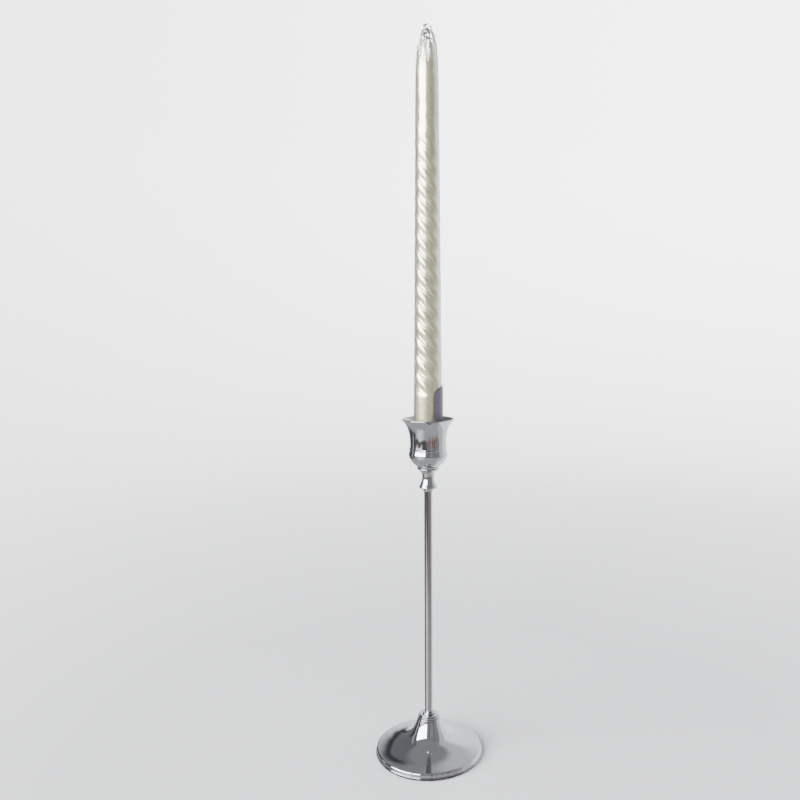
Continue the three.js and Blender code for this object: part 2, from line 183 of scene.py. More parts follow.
class Shader:
    """A node material with a Principled shader and shorthand for the nodes that feed it."""

    def __init__(self, name):
        self.material = bpy.data.materials.new(name)
        self.material.use_nodes = True
        self.tree = self.material.node_tree
        self.tree.nodes.clear()
        self.output = self.tree.nodes.new("ShaderNodeOutputMaterial")
        self.bsdf = self.tree.nodes.new("ShaderNodeBsdfPrincipled")
        self.tree.links.new(self.bsdf.outputs[0], self.output.inputs["Surface"])
        self.position = self.tree.nodes.new("ShaderNodeTexCoord").outputs["Object"]

    def feed(self, socket, value):
        if isinstance(value, bpy.types.NodeSocket):
            self.tree.links.new(value, socket)
        else:
            socket.default_value = value

    def set(self, **values):
        """Sets Principled inputs, with _ for the spaces in their names."""
        for name, value in values.items():
            self.feed(self.bsdf.inputs[name.replace("_", " ")], value)

    def math(self, operation, *values):
        node = self.tree.nodes.new("ShaderNodeMath")
        node.operation = operation
        for socket, value in zip(node.inputs, values):
            self.feed(socket, value)
        return node.outputs[0]

    def scaled(self, factors):
        node = self.tree.nodes.new("ShaderNodeVectorMath")
        node.operation = "MULTIPLY"
        self.feed(node.inputs[0], self.position)
        node.inputs[1].default_value = factors
        return node.outputs[0]

    def noise(self, size, detail=3.0, rough=0.55, stretch=(1, 1, 1), distortion=0.0):
        """Noise whose features are about size millimetres wide."""
        node = self.tree.nodes.new("ShaderNodeTexNoise")
        self.feed(node.inputs["Vector"], self.scaled(stretch))
        node.inputs["Scale"].default_value = 1 / (size * MM)
        node.inputs["Detail"].default_value = detail
        node.inputs["Roughness"].default_value = rough
        node.inputs["Distortion"].default_value = distortion
        return node.outputs["Fac"]

    def cells(self, size, output="Distance"):
        """Cells about size millimetres wide: the distance from their middles, or a colour each."""
        node = self.tree.nodes.new("ShaderNodeTexVoronoi")
        self.feed(node.inputs["Vector"], self.position)
        node.inputs["Scale"].default_value = 1 / (size * MM)
        return node.outputs[output]

    def radius_and_height(self):
        """Distance from the axis and height, in metres."""
        split = self.tree.nodes.new("ShaderNodeSeparateXYZ")
        self.feed(split.inputs[0], self.position)
        squares = [self.math("MULTIPLY", split.outputs[i], split.outputs[i]) for i in (0, 1)]
        return self.math("SQRT", self.math("ADD", *squares)), split.outputs[2]

    def rings(self, pitch):
        """Fine grooves left by turning, across the radius and the height at once."""
        radius, height = self.radius_and_height()
        along = self.math("ADD", radius, height)
        node = self.tree.nodes.new("ShaderNodeTexNoise")
        node.noise_dimensions = "1D"
        self.feed(node.inputs["W"], along)
        node.inputs["Scale"].default_value = 1 / (pitch * MM)
        node.inputs["Detail"].default_value = 2.0
        return node.outputs["Fac"]

    def remap(self, value, low, high, to_low, to_high):
        node = self.tree.nodes.new("ShaderNodeMapRange")
        for socket, number in zip(node.inputs, (value, low, high, to_low, to_high)):
            self.feed(socket, number)
        return node.outputs[0]

    def blend(self, factor, first, second):
        node = self.tree.nodes.new("ShaderNodeMix")
        node.data_type = "RGBA"
        self.feed(node.inputs[0], factor)
        self.feed(node.inputs[6], first if not isinstance(first, tuple) else (*first, 1))
        self.feed(node.inputs[7], second if not isinstance(second, tuple) else (*second, 1))
        return node.outputs[2]

    def bump(self, height, depth, after=None):
        """A bump whose height of 1 stands for depth millimetres."""
        node = self.tree.nodes.new("ShaderNodeBump")
        node.inputs["Strength"].default_value = 1.0
        node.inputs["Distance"].default_value = depth * MM
        self.feed(node.inputs["Height"], height)
        if after is not None:
            self.feed(node.inputs["Normal"], after)
        return node.outputs[0]


CHROME_TINT = (0.44, 0.45, 0.465)
# Blur in millimetres of the upper edge of the painted contact shade on the foot
CONTACT_SHADE_EDGE = 0.5


def shade(tone, share):
    return tuple(c * share for c in tone)


def chrome(name, wave, ring, smudge, shaded_below=None):
    """Polished chrome plate: waves in the sheet of the given depth, turning marks and smudges of the given
    sizes. Below the given height its colour is darkened: painted shade for the table's contact shadow that it
    mirrors."""
    s = Shader(name)
    smudges = s.remap(s.noise(smudge, detail=5, rough=0.6, distortion=0.6), 0.45, 0.75, 0, 1)
    hairs = s.noise(0.5, detail=4, rough=0.7, stretch=(1, 1, 0.12))
    colour = s.blend(smudges, CHROME_TINT, shade(CHROME_TINT, 0.93))
    if shaded_below:
        # Painted shade: the colour turns dark near the table, where the chrome mirrors the contact shadow
        _, height = s.radius_and_height()
        unshaded = s.remap(height, (shaded_below - CONTACT_SHADE_EDGE) * MM, shaded_below * MM, 0, 1)
        colour = s.blend(unshaded, shade(CHROME_TINT, 0.16), colour)
    s.set(
        Metallic=1.0,
        Base_Color=colour,
        Roughness=s.math("ADD", s.remap(smudges, 0, 1, 0.03, 0.1), s.remap(hairs, 0.5, 0.8, 0, 0.05)),
    )
    first = s.bump(s.noise(14, detail=1.5), wave)
    second = s.bump(s.rings(ring), 0.0012, after=first)
    s.set(Normal=s.bump(hairs, 0.0006, after=second))
    return s.material


def steel(name, tone, rough):
    """Zinc-plated steel with a brushed, slightly cloudy surface."""
    s = Shader(name)
    cloud = s.noise(3, detail=4)
    brushed = s.noise(0.25, detail=3, stretch=(1, 1, 0.1))
    s.set(
        Metallic=1.0,
        Base_Color=s.blend(cloud, shade(tone, 0.75), tone),
        Roughness=s.remap(brushed, 0.3, 0.7, rough - 0.08, rough + 0.12),
        Normal=s.bump(brushed, 0.008),
    )
    return s.material


def cast_iron():
    """Rough grey iron with a little rust."""
    s = Shader("cast_iron")
    grain = s.noise(0.8, detail=6, rough=0.7)
    rust = s.remap(s.noise(7, detail=4, distortion=1), 0.5, 0.75, 0, 1)
    s.set(
        Metallic=s.remap(rust, 0, 1, 0.8, 0.2),
        Base_Color=s.blend(rust, (0.075, 0.075, 0.08), (0.12, 0.06, 0.035)),
        Roughness=s.remap(grain, 0.3, 0.7, 0.45, 0.85),
        Normal=s.bump(grain, 0.12),
    )
    return s.material


def foam():
    """Closed-cell foam: small pores in a dark skin, with a little dust."""
    s = Shader("pad_foam")
    pores = s.cells(0.7)
    dust = s.remap(s.noise(5, detail=6, rough=0.7), 0.5, 0.8, 0, 0.5)
    first = s.bump(pores, 0.15)
    s.set(
        Base_Color=s.blend(dust, (0.012, 0.013, 0.016), (0.05, 0.05, 0.052)),
        Roughness=s.remap(pores, 0, 0.6, 0.75, 0.95),
        Normal=s.bump(s.noise(0.25, detail=3), 0.04, after=first),
    )
    return s.material


def pearl_wax():
    """Silver-ivory pearl lacquer on wax: fine mica flakes that catch the light, over a warm ground."""
    s = Shader("pearl_wax")
    flakes = s.cells(0.16, output="Color")
    grey = s.tree.nodes.new("ShaderNodeSeparateColor")
    s.feed(grey.inputs[0], flakes)
    sparkle = s.remap(grey.outputs[0], 0.35, 1.0, 0, 1)
    drift = s.noise(9, detail=4, stretch=(1, 1, 0.35))
    ground = s.blend(drift, (0.66, 0.60, 0.40), (0.74, 0.69, 0.49))
    s.set(
        Base_Color=s.blend(s.math("MULTIPLY", sparkle, 0.4), ground, (0.95, 0.92, 0.80)),
        Metallic=s.remap(grey.outputs[1], 0, 1, 0.62, 0.88),
        Roughness=s.remap(grey.outputs[2], 0, 1, 0.2, 0.3),
        Coat_Weight=0.3,
        Coat_Roughness=0.12,
        Subsurface_Weight=0.08,
        Subsurface_Radius=(0.003, 0.0025, 0.0018),
    )
    ripple = s.bump(s.noise(2.2, detail=3), 0.03)
    s.set(Normal=s.bump(s.noise(0.2, detail=2), 0.006, after=ripple))
    return s.material


def cotton():
    """Twisted cotton with its fibres along the wick."""
    s = Shader("cotton")
    fibre = s.noise(0.12, detail=4, stretch=(1, 1, 0.15))
    s.set(
        Base_Color=s.blend(fibre, (0.62, 0.58, 0.48), (0.85, 0.83, 0.76)),
        Roughness=s.remap(fibre, 0.3, 0.7, 0.8, 1.0),
        Sheen_Weight=0.3,
        Normal=s.bump(fibre, 0.05),
    )
    return s.material


def clear_film():
    """Clear plastic film: see-through face on, with a sheen at a glance and tiny crinkles."""
    s = Shader("clear_film")
    crinkle = s.bump(s.noise(7, detail=3, rough=0.55, stretch=(1, 1, 0.4), distortion=0.5), 0.05)
    s.set(
        Metallic=1.0,
        Base_Color=(0.96, 0.97, 0.97, 1),
        Roughness=s.remap(s.noise(6, detail=4), 0.4, 0.7, 0.04, 0.12),
        Normal=crinkle,
    )
    clear = s.tree.nodes.new("ShaderNodeBsdfTransparent")
    clear.inputs[0].default_value = (0.985, 0.99, 0.985, 1)
    fresnel = s.tree.nodes.new("ShaderNodeFresnel")
    fresnel.inputs["IOR"].default_value = 1.32
    s.feed(fresnel.inputs["Normal"], crinkle)
    mix = s.tree.nodes.new("ShaderNodeMixShader")
    # Towards the gathered tip more layers of film lie over each other and hide what is behind
    _, height = s.radius_and_height()
    gathered = s.remap(height, (FILM_TOP - 40) * MM, (FILM_TOP - 3) * MM, 0.0, 1.0)
    layers = s.math("MULTIPLY", s.math("POWER", gathered, 2.5), 0.5)
    s.feed(mix.inputs[0], s.math("ADD", s.math("MULTIPLY", fresnel.outputs[0], 0.7), layers))
    s.feed(mix.inputs[1], clear.outputs[0])
    s.feed(mix.inputs[2], s.bsdf.outputs[0])
    s.feed(s.output.inputs["Surface"], mix.outputs[0])
    return s.material


def label_paper():
    """A blank coated sticker, dark violet, rubbed lighter along its upper edge."""
    s = Shader("label_paper")
    fibre = s.noise(0.35, detail=5, rough=0.65)
    _, height = s.radius_and_height()
    band = s.remap(height, (LABEL_TOP - 7) * MM, LABEL_TOP * MM, 0, 1)
    worn = s.math("MULTIPLY", band, s.remap(s.noise(2.5, detail=4), 0.4, 0.65, 0.2, 1))
    mottled = s.blend(s.noise(3, detail=4), (0.075, 0.05, 0.095), (0.115, 0.085, 0.135))
    s.set(
        Base_Color=s.blend(worn, mottled, (0.24, 0.19, 0.2)),
        Roughness=s.remap(fibre, 0.3, 0.7, 0.3, 0.5),
        Normal=s.bump(fibre, 0.02),
    )
    return s.material


# How high over the foot's lowest edge the painted contact shade reaches, in millimetres
CONTACT_SHADE_HEIGHT = 1.0
FOOT_CHROME = chrome("foot_chrome", wave=0.035, ring=0.5, smudge=9, shaded_below=FOOT_LOW + CONTACT_SHADE_HEIGHT)
COLLAR_CHROME = chrome("collar_chrome", wave=0.006, ring=0.3, smudge=3)
STEM_CHROME = chrome("stem_chrome", wave=0.012, ring=0.9, smudge=6)
KNOP_CHROME = chrome("knop_chrome", wave=0.006, ring=0.3, smudge=3)
CUP_CHROME = chrome("cup_chrome", wave=0.02, ring=0.35, smudge=6)
FOAM = foam()
WAX = pearl_wax()
COTTON = cotton()
FILM = clear_film()
PAPER = label_paper()

STEEL_ROUGHNESS = 0.34
STEEL_TONES = {
    "foot_washer": (0.5, 0.5, 0.5),
    "foot_lock_washer": (0.36, 0.36, 0.37),
    "foot_nut": (0.52, 0.51, 0.47),
    "tie_rod": (0.48, 0.48, 0.48),
    "cup_washer": (0.5, 0.5, 0.5),
    "cup_nut": (0.52, 0.51, 0.47),
}
for node, tone in STEEL_TONES.items():
    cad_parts[node].data.materials[0] = steel(node + "_zinc", tone, STEEL_ROUGHNESS)
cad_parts["weight_disc"].data.materials[0] = cast_iron()


# ---- Foot, collar, stem ----

TURNED_SEGMENTS = 224
SMALL_SEGMENTS = 128
BEAD_PROUD = 0.6
BAND_RADIUS = FOOT_RADIUS - BEAD_PROUD
BAND_ROUND = 1.5
BAND_TOP = FOOT_LOW + 4.8
BEAD_HEIGHT = 1.2
BEAD_EDGE = BEAD_HEIGHT / 2.2
FLARE_EDGE = BAND_RADIUS - BAND_ROUND
SHEET = 1.2
FLARE_FALLOFF = 1.2


def flare_height(radius):
    """Height of the trumpet-shaped top of the foot at a radius."""
    share = (COLLAR_RADIUS / radius) ** FLARE_FALLOFF
    at_edge = (COLLAR_RADIUS / FLARE_EDGE) ** FLARE_FALLOFF
    return BAND_TOP + (FOOT_TOP - BAND_TOP) * (share - at_edge) / (1 - at_edge)


def foot():
    """Bead at the table, plain band, flare up to the collar, and the hollow inside."""
    steps = 110
    radii = [FLARE_EDGE * (COLLAR_RADIUS / FLARE_EDGE) ** (i / steps) for i in range(steps + 1)]
    skirt = BAND_RADIUS - SHEET
    web = FOOT_TOP - SHEET
    under_flare = [(r - SHEET * 0.7, flare_height(r) - SHEET * 0.75) for r in radii[::3]]
    under_flare = [(r, height) for r, height in under_flare if height < web - 0.5 and r < skirt - 0.4]
    web_edge = under_flare[-1][0] - SHEET / 6
    outline = [
        (skirt, FOOT_LOW),
        *rounded_ring(FOOT_RADIUS, FOOT_LOW, FOOT_LOW + BEAD_HEIGHT, BEAD_EDGE),
        (BAND_RADIUS, FOOT_LOW + BEAD_HEIGHT),
        *arc((FLARE_EDGE, BAND_TOP - BAND_ROUND), BAND_ROUND, 0, 90, 16)[:-1],
        *[(r, flare_height(r)) for r in radii],
        (ROD_HOLE_RADIUS, FOOT_TOP),
        (ROD_HOLE_RADIUS, web),
        (web_edge, web),
        *reversed(under_flare),
        (skirt, BAND_TOP - BAND_ROUND),
    ]
    return turned(outline, TURNED_SEGMENTS)


def pad():
    edge = 0.35
    outline = [(0, PAD_LOW), *rounded_ring(PAD_RADIUS, PAD_LOW, PAD_TOP, edge), (0, PAD_TOP)]
    return turned(outline, TURNED_SEGMENTS)


def collar():
    """Three stepped rings and a small boss, with a socket for the stem."""
    edge = 0.42
    rings = [(COLLAR_RADIUS, 1.2), (COLLAR_RADIUS - 0.7, 1.5), (COLLAR_RADIUS - 1.4, 1.3),
             (STEM_SOCKET_RADIUS + 1.8, 1.2)]
    web = COLLAR_LOW + 1.2
    outline = [(ROD_HOLE_RADIUS, COLLAR_LOW)]
    height = COLLAR_LOW
    for radius, tall in rings:
        outline += rounded_ring(radius, height, height + tall, edge)
        height += tall
    outline += [(STEM_SOCKET_RADIUS, height), (STEM_SOCKET_RADIUS, web), (ROD_HOLE_RADIUS, web)]
    return turned(outline, SMALL_SEGMENTS)


def stem():
    bore = ROD_RADIUS + 0.5
    rows = 60
    edge = 0.15
    outside = [(STEM_RADIUS, lerp(STEM_LOW + edge, STEM_TOP - edge, i / rows)) for i in range(rows + 1)]
    outline = [(bore, STEM_LOW), (STEM_RADIUS - edge, STEM_LOW), *outside,
               (STEM_RADIUS - edge, STEM_TOP), (bore, STEM_TOP)]
    return turned(outline, SMALL_SEGMENTS)


piece("foot", *foot(), FOOT_CHROME, "holder", ["foot_shell"], "chrome_plate")
piece("pad", *pad(), FOAM, "holder", ["base_pad"], "foam_pad")
piece("collar", *collar(), COLLAR_CHROME, "holder", ["foot_collar"], "chrome_plate")
piece("stem", *stem(), STEM_CHROME, "holder", ["stem_tube"], "chrome_plate")


# ---- Knop and cup ----

def knop():
    """Bell-shaped lip over the stem, a waist, and a rounded flange under the cup."""
    nose = STEM_SOCKET_RADIUS + 0.7
    nose_edge = 0.25
    bell = 7.5
    lip = 0.7
    lip_height = KNOP_LOW + 3.3
    waist = ROD_HOLE_RADIUS + 2.7
    waist_height = KNOP_LOW + 11
    flange_low = KNOP_TOP - 1.1
    flange_edge = 0.5
    neck_top = FLANGE_RADIUS - 1.2
    socket_top = KNOP_LOW + 6
    lip_top = (bell, lip_height + lip / 2)
    pull = (waist_height - lip_height) / 3
    rise = (flange_low - waist_height) / 2
    outline = [
        (STEM_SOCKET_RADIUS, KNOP_LOW),
        *arc((nose - nose_edge, KNOP_LOW + nose_edge), nose_edge, -90, 0, 4),
        (nose + 0.1, lip_height - 1.9),
        (nose + 0.5, lip_height - 1.2),
        *arc((bell - lip, lip_height), lip, -90, -20, 8),
        *curve(lip_top, (bell - 1.2, lip_top[1] + pull), (waist + 0.1, waist_height - pull),
               (waist, waist_height), 26),
        *curve((waist, waist_height), (waist, waist_height + rise), (waist + 0.9, flange_low - 1.9),
               (neck_top, flange_low - 0.1), 22)[1:],
        (neck_top + 0.1, flange_low),
        *arc((FLANGE_RADIUS - flange_edge, (flange_low + KNOP_TOP) / 2), flange_edge, -80, 80, 10),
        (FLANGE_RADIUS - 0.7, KNOP_TOP),
        (ROD_HOLE_RADIUS, KNOP_TOP),
        (ROD_HOLE_RADIUS, socket_top),
        (STEM_SOCKET_RADIUS, socket_top),
    ]
    return turned(outline, SMALL_SEGMENTS)


def cup():
    """Bowl on three fine steps, a ring line, a throat and a flared rim, with the socket inside."""
    throat = SOCKET_RADIUS + 3.3
    belly = throat + 1.2
    line = (belly + throat) / 2 - 0.2
    line_round = 0.26
    foot_radius = FLANGE_RADIUS - 0.2
    step_round = 0.3
    rim_edge = 0.45
    mouth = RIM_RADIUS - 0.9
    flare_low = CUP_TOP - 13.5
    floor_edge = 0.3

    def up(height):
        return CUP_LOW + height

    outline = [
        (ROD_HOLE_RADIUS, up(0)),
        (foot_radius - 0.4, up(0)),
        *arc((foot_radius - 0.32, up(0.34)), step_round, -80, 5, 6),
        *arc((foot_radius + 0.02, up(0.98)), step_round, -75, 5, 6),
        *arc((foot_radius + 0.42, up(1.62)), step_round, -75, 0, 6),
        *curve((foot_radius + 0.74, up(1.95)), (foot_radius + 2.5, up(3.1)), (belly - 1.2, up(6)),
               (belly, up(11)), 30),
        *curve((belly, up(11)), (belly, up(12.6)), (line + 0.15, up(14.2)), (line, up(15.4)), 12)[1:],
        *arc((line + 0.02, up(15.9)), line_round, -75, 75, 6),
        (line - 0.2, up(16.4)),
        *curve((throat + 0.12, up(17)), (throat, up(18)), (throat, up(20)), (throat, up(21.5)), 8),
        *curve((throat, up(21.5)), (throat, up(29)), (RIM_RADIUS - 4.5, CUP_TOP - 4.5),
               (RIM_RADIUS, CUP_TOP - 0.75), 40)[1:],
        *arc((RIM_RADIUS - rim_edge, CUP_TOP - rim_edge), rim_edge, -10, 120, 10),
        *curve((mouth, CUP_TOP - 0.1), (mouth - 3.4, CUP_TOP - 4.2), (SOCKET_RADIUS + 0.9, flare_low + 6),
               (SOCKET_RADIUS, flare_low), 34),
        (SOCKET_RADIUS, CANDLE_LOW + floor_edge),
        (SOCKET_RADIUS - floor_edge, CANDLE_LOW),
        (POCKET_RADIUS, CANDLE_LOW),
        (POCKET_RADIUS, POCKET_LOW),
        (ROD_HOLE_RADIUS, POCKET_LOW),
    ]
    return turned(outline, TURNED_SEGMENTS)


piece("knop_bell", *knop(), KNOP_CHROME, "holder", ["knop"], "chrome_plate")
piece("cup", *cup(), CUP_CHROME, "holder", ["candle_cup"], "cup_metal")


# ---- Candle and wick ----

# Heights here are above the candle's butt
RIB_COUNT = 4
RIB_LEAD = 55.6
RIB_DEPTH = 1.5
RIB_SHARE = 0.7
RIB_PHASE = 0.15
RIB_FADE = 8
BUTT_PLAIN = 42
SMOOTH_FROM = 190
TIP_LENGTH = 32
TIP_FLAT = 1.8
BARREL_TOP_SHARE = 0.8
WAX_INSET = 0.06
WAX_WOBBLE = 0.06
CANDLE_LENGTH = CANDLE_TOP - CANDLE_LOW
TAPER_END = CANDLE_LENGTH - TIP_LENGTH


def crest_radius(height):
    """Radius over the ribs at a height."""
    along = min(max((height - BUTT_PLAIN) / (TAPER_END - BUTT_PLAIN), 0), 1)
    barrel = CANDLE_RADIUS * lerp(1, BARREL_TOP_SHARE, along)
    tip = min(max((height - TAPER_END) / TIP_LENGTH, 0), 1)
    return TIP_FLAT + (barrel - TIP_FLAT) * (1 - tip ** 1.6) ** 0.8


def rib_cut(phase):
    """How far the surface lies under the crest, from 0 to 1, across one rib and the band beside it."""
    p = (phase - RIB_PHASE) % 1
    if p < RIB_SHARE:
        return 1 - math.sin(math.pi * p / RIB_SHARE) ** 0.75
    q = (p - RIB_SHARE) / (1 - RIB_SHARE)
    return 1 - 0.3 * math.sin(math.pi * q) ** 0.6


def rib_amount(height):
    """Share of the full rib depth: none on the plain butt, and little on the smooth upper part."""
    start = smoothstep(height, BUTT_PLAIN, BUTT_PLAIN + RIB_FADE)
    return start * (1 - 0.9 * smoothstep(height, SMOOTH_FROM, TAPER_END - 20))


def candle():
    """Tapered barrel with left-hand ribs, a cone tip, and the wick's bore."""
    segments = 160
    chamfer_height, chamfer_depth = 0.6, 0.35
    rib_row = 0.8
    heights = [0, 0.25, chamfer_height, *[2 + i * 4 for i in range(10)]]
    height = float(BUTT_PLAIN)
    while height < CANDLE_LENGTH - 0.3:
        heights.append(height)
        height += rib_row
    heights.append(CANDLE_LENGTH)
    vertices, rings = [], []
    for height in heights:
        depth = RIB_DEPTH * rib_amount(height)
        chamfer = chamfer_depth * max(0, 1 - height / chamfer_height)
        points = []
        for angle in circle_angles(segments):
            x, y = math.cos(angle), math.sin(angle)
            phase = RIB_COUNT * (angle / (2 * math.pi) + height / RIB_LEAD)
            wobble = noise.noise(Vector((x * 1.3, y * 1.3, height / 18))) * WAX_WOBBLE
            radius = crest_radius(height) - depth * rib_cut(phase) - chamfer - WAX_INSET + wobble
            points.append((radius * x, radius * y, CANDLE_LOW + height))
        add_ring(vertices, rings, points)
    bore = WICK_RADIUS + 0.2
    for height in (CANDLE_TOP, CANDLE_LOW):
        add_ring(vertices, rings, level_ring(bore, height, segments))
    rings.append(rings[0])
    return vertices, joined(rings)


def wick():
    """Three twisted strands."""
    segments, pitch, step = 24, 4.5, 0.5
    strand = 0.28
    rows = int((WICK_TOP - WICK_LOW) / step)
    vertices, rings = [], []
    add_pole(vertices, rings, segments, WICK_LOW)
    for i in range(rows + 1):
        height = lerp(WICK_LOW, WICK_TOP, i / rows)
        points = []
        for angle in circle_angles(segments):
            lobe = abs(math.sin(1.5 * (angle + 2 * math.pi * height / pitch)))
            radius = WICK_RADIUS * (1 - strand + strand * lobe)
            points.append((radius * math.cos(angle), radius * math.sin(angle), height))
        add_ring(vertices, rings, points)
    add_pole(vertices, rings, segments, WICK_TOP)
    return vertices, joined(rings)


piece("candle_body", *candle(), WAX, "candle", ["candle"], "pearl_wax", sharp=60)
piece("wick_twist", *wick(), COTTON, "candle", ["wick"], "cotton", sharp=60)


# ---- Film and label ----

FILM_SEGMENTS = 144
FILM_SKIN = 0.07
GATHER_FROM = 295
HEM = FILM_LOW - CANDLE_LOW
HEM_LIFT = 0.3
HEM_UNEVEN = 0.35
LOOSE_FROM = 21
LOOSE_REACH = 60
HEM_LOOSENESS = 0.3
GAP = 0.36
GAP_DRIFT = 0.16
GAP_WRINKLE = 0.13
GAP_LEAST, GAP_MOST = 0.14, 0.58
PLEATS = 11
# Outer radius of the film over its gathered top, as (height above the candle's butt, radius)
CROWN = [
    (GATHER_FROM, 9.45), (300, 9.2), (306, 8.9), (314, 8.3), (318, 7.9), (321, 7.3), (324, 6.5), (327, 5.3),
    (328.5, 4.3), (330, 4.0), (331.5, 3.8), (332.6, 3.0), (333.0, 1.7),
]
CROWN_TOP = CROWN[-1][0]


def crown_radius(height):
    """Radius of the gathered top before it is pleated."""
    for (h0, r0), (h1, r1) in zip(CROWN, CROWN[1:]):
        if height <= h1:
            return lerp(r0, r1, (height - h0) / (h1 - h0))
    return CROWN[-1][1]


def fold(angle, turns, shift):
    """A sharp-crested wave round the axis, from -1 to 1."""
    return 1 - 2 * abs(math.sin(turns * angle / 2 + shift))


# Creases pressed into the film: where each starts and ends as (degrees round from +X, height above
# the candle's butt), how wide it is and how far it is pushed in, or out when negative
CREASES = [
    ((-118, 299), (-88, 316), 1.1, 0.9),
    ((-60, 303), (-96, 322), 1.3, -0.8),
    ((-150, 296), (-128, 322), 1.2, 0.8),
    ((-20, 292), (-48, 318), 1.2, 0.8),
    ((20, 300), (2, 324), 1.4, -0.7),
    ((62, 294), (80, 318), 1.2, 0.8),
    ((120, 300), (96, 322), 1.3, 0.7),
    ((165, 292), (150, 318), 1.2, -0.7),
    ((-75, 281), (-62, 300), 0.9, -0.5),
    ((-128, 262), (-112, 286), 0.9, -0.45),
    ((-40, 240), (-58, 262), 0.9, -0.4),
    ((70, 250), (52, 276), 1.0, -0.45),
    ((140, 236), (160, 262), 1.0, -0.4),
    ((-95, 60), (-84, 84), 0.9, -0.35),
    ((-140, 130), (-126, 152), 0.9, -0.35),
    ((-30, 170), (-44, 192), 0.9, -0.35),
    ((100, 110), (86, 138), 1.0, -0.35),
    ((30, 48), (44, 74), 1.0, -0.35),
]


def creased(angle, height):
    """How far all the creases push the film in at a place."""
    total = 0.0
    film_round = 8  # radius that turns an angle off a crease into millimetres
    for (from_angle, low), (to_angle, high), width, push in CREASES:
        along = (height - low) / (high - low)
        if -0.1 < along < 1.1:
            middle = math.radians(lerp(from_angle, to_angle, along))
            off = math.remainder(angle - middle, 2 * math.pi) * film_round
            ends = smoothstep(along, -0.1, 0.25) * (1 - smoothstep(along, 0.7, 1.1))
            total += push * ends * math.exp(-abs(off) / (width * 0.7))
    return total


def film_radius(angle, height):
    """Outer radius of the film. It rests on the ribs, with creases, and gathers into pleats at the top."""
    x, y = math.cos(angle), math.sin(angle)
    soft = noise.noise(Vector((x * 1.4, y * 1.4, height / 34 + 5)))
    wrinkle = 1 - abs(noise.noise(Vector((x * 2.3 + 9, y * 2.3, height / 22 + height * 0.012)))) * 2.4
    gap = GAP + GAP_DRIFT * soft + GAP_WRINKLE * max(wrinkle, 0) ** 2
    loose = min(max(1 - (height - LOOSE_FROM) / LOOSE_REACH, 0), 1)
    hugging = crest_radius(height) + min(max(gap, GAP_LEAST), GAP_MOST) + HEM_LOOSENESS * loose
    push = creased(angle, height)
    if height <= GATHER_FROM:
        return hugging - (min(push, gap - 0.1) if push > 0 else push)
    gathered = smoothstep(height, 297, 327)
    pleat = (0.6 * fold(angle, PLEATS, 0.4 + height * 0.012)
             + 0.4 * fold(angle, PLEATS * 2 - 5, 1.7 - height * 0.03))
    pleat += 0.9 * gathered * noise.noise(Vector((x * 2.6, y * 2.6, height * 0.55)))
    radius = lerp(hugging, crown_radius(height), smoothstep(height, GATHER_FROM, 302))
    depth = lerp(0.03, 0.26, gathered)
    free = max(radius - crest_radius(height) - 0.15, 0)
    pushed = min(push, free) if push > 0 else push * (1 - gathered)
    return radius * (1 - depth * (0.5 - 0.5 * pleat)) - pushed


def film_ring(height, inset):
    """One level ring of the film, set in from its outer face. The hem runs a little uneven."""
    points = []
    for angle in circle_angles(FILM_SEGMENTS):
        x, y = math.cos(angle), math.sin(angle)
        radius = film_radius(angle, height) - inset
        z = CANDLE_LOW + height
        if height == HEM:
            z += HEM_UNEVEN * noise.noise(Vector((x, y, 3))) + HEM_LIFT
        points.append((radius * x, radius * y, z))
    return points


def film_cap_ring(share, level):
    """One ring of the closed top, at a share of the radius of the last open ring."""
    points = []
    for angle in circle_angles(FILM_SEGMENTS):
        radius = film_radius(angle, CROWN_TOP - 0.01) * share
        points.append((radius * math.cos(angle), radius * math.sin(angle), level))
    return points


def film():
    """A thin sleeve, open at the hem and closed over the wick."""
    plain_row, gathered_row = 1.25, 0.55
    heights = [HEM + i * plain_row for i in range(int((GATHER_FROM - HEM) / plain_row))]
    height = float(GATHER_FROM)
    while height < CROWN_TOP:
        heights.append(height)
        height += gathered_row
    top = FILM_TOP - 0.1
    closing = [(0.62, top - 0.35), (0.3, top - 0.12)]
    vertices, rings = [], []
    # From the inside of the top down to the hem, then up the outside
    add_pole(vertices, rings, FILM_SEGMENTS, top - FILM_SKIN)
    for share, level in reversed(closing):
        add_ring(vertices, rings, film_cap_ring(share, level - FILM_SKIN))
    for height in reversed(heights):
        add_ring(vertices, rings, film_ring(height, FILM_SKIN))
    for height in heights:
        add_ring(vertices, rings, film_ring(height, 0))
    for share, level in closing:
        add_ring(vertices, rings, film_cap_ring(share, level))
    add_pole(vertices, rings, FILM_SEGMENTS, top)
    return vertices, joined(rings)


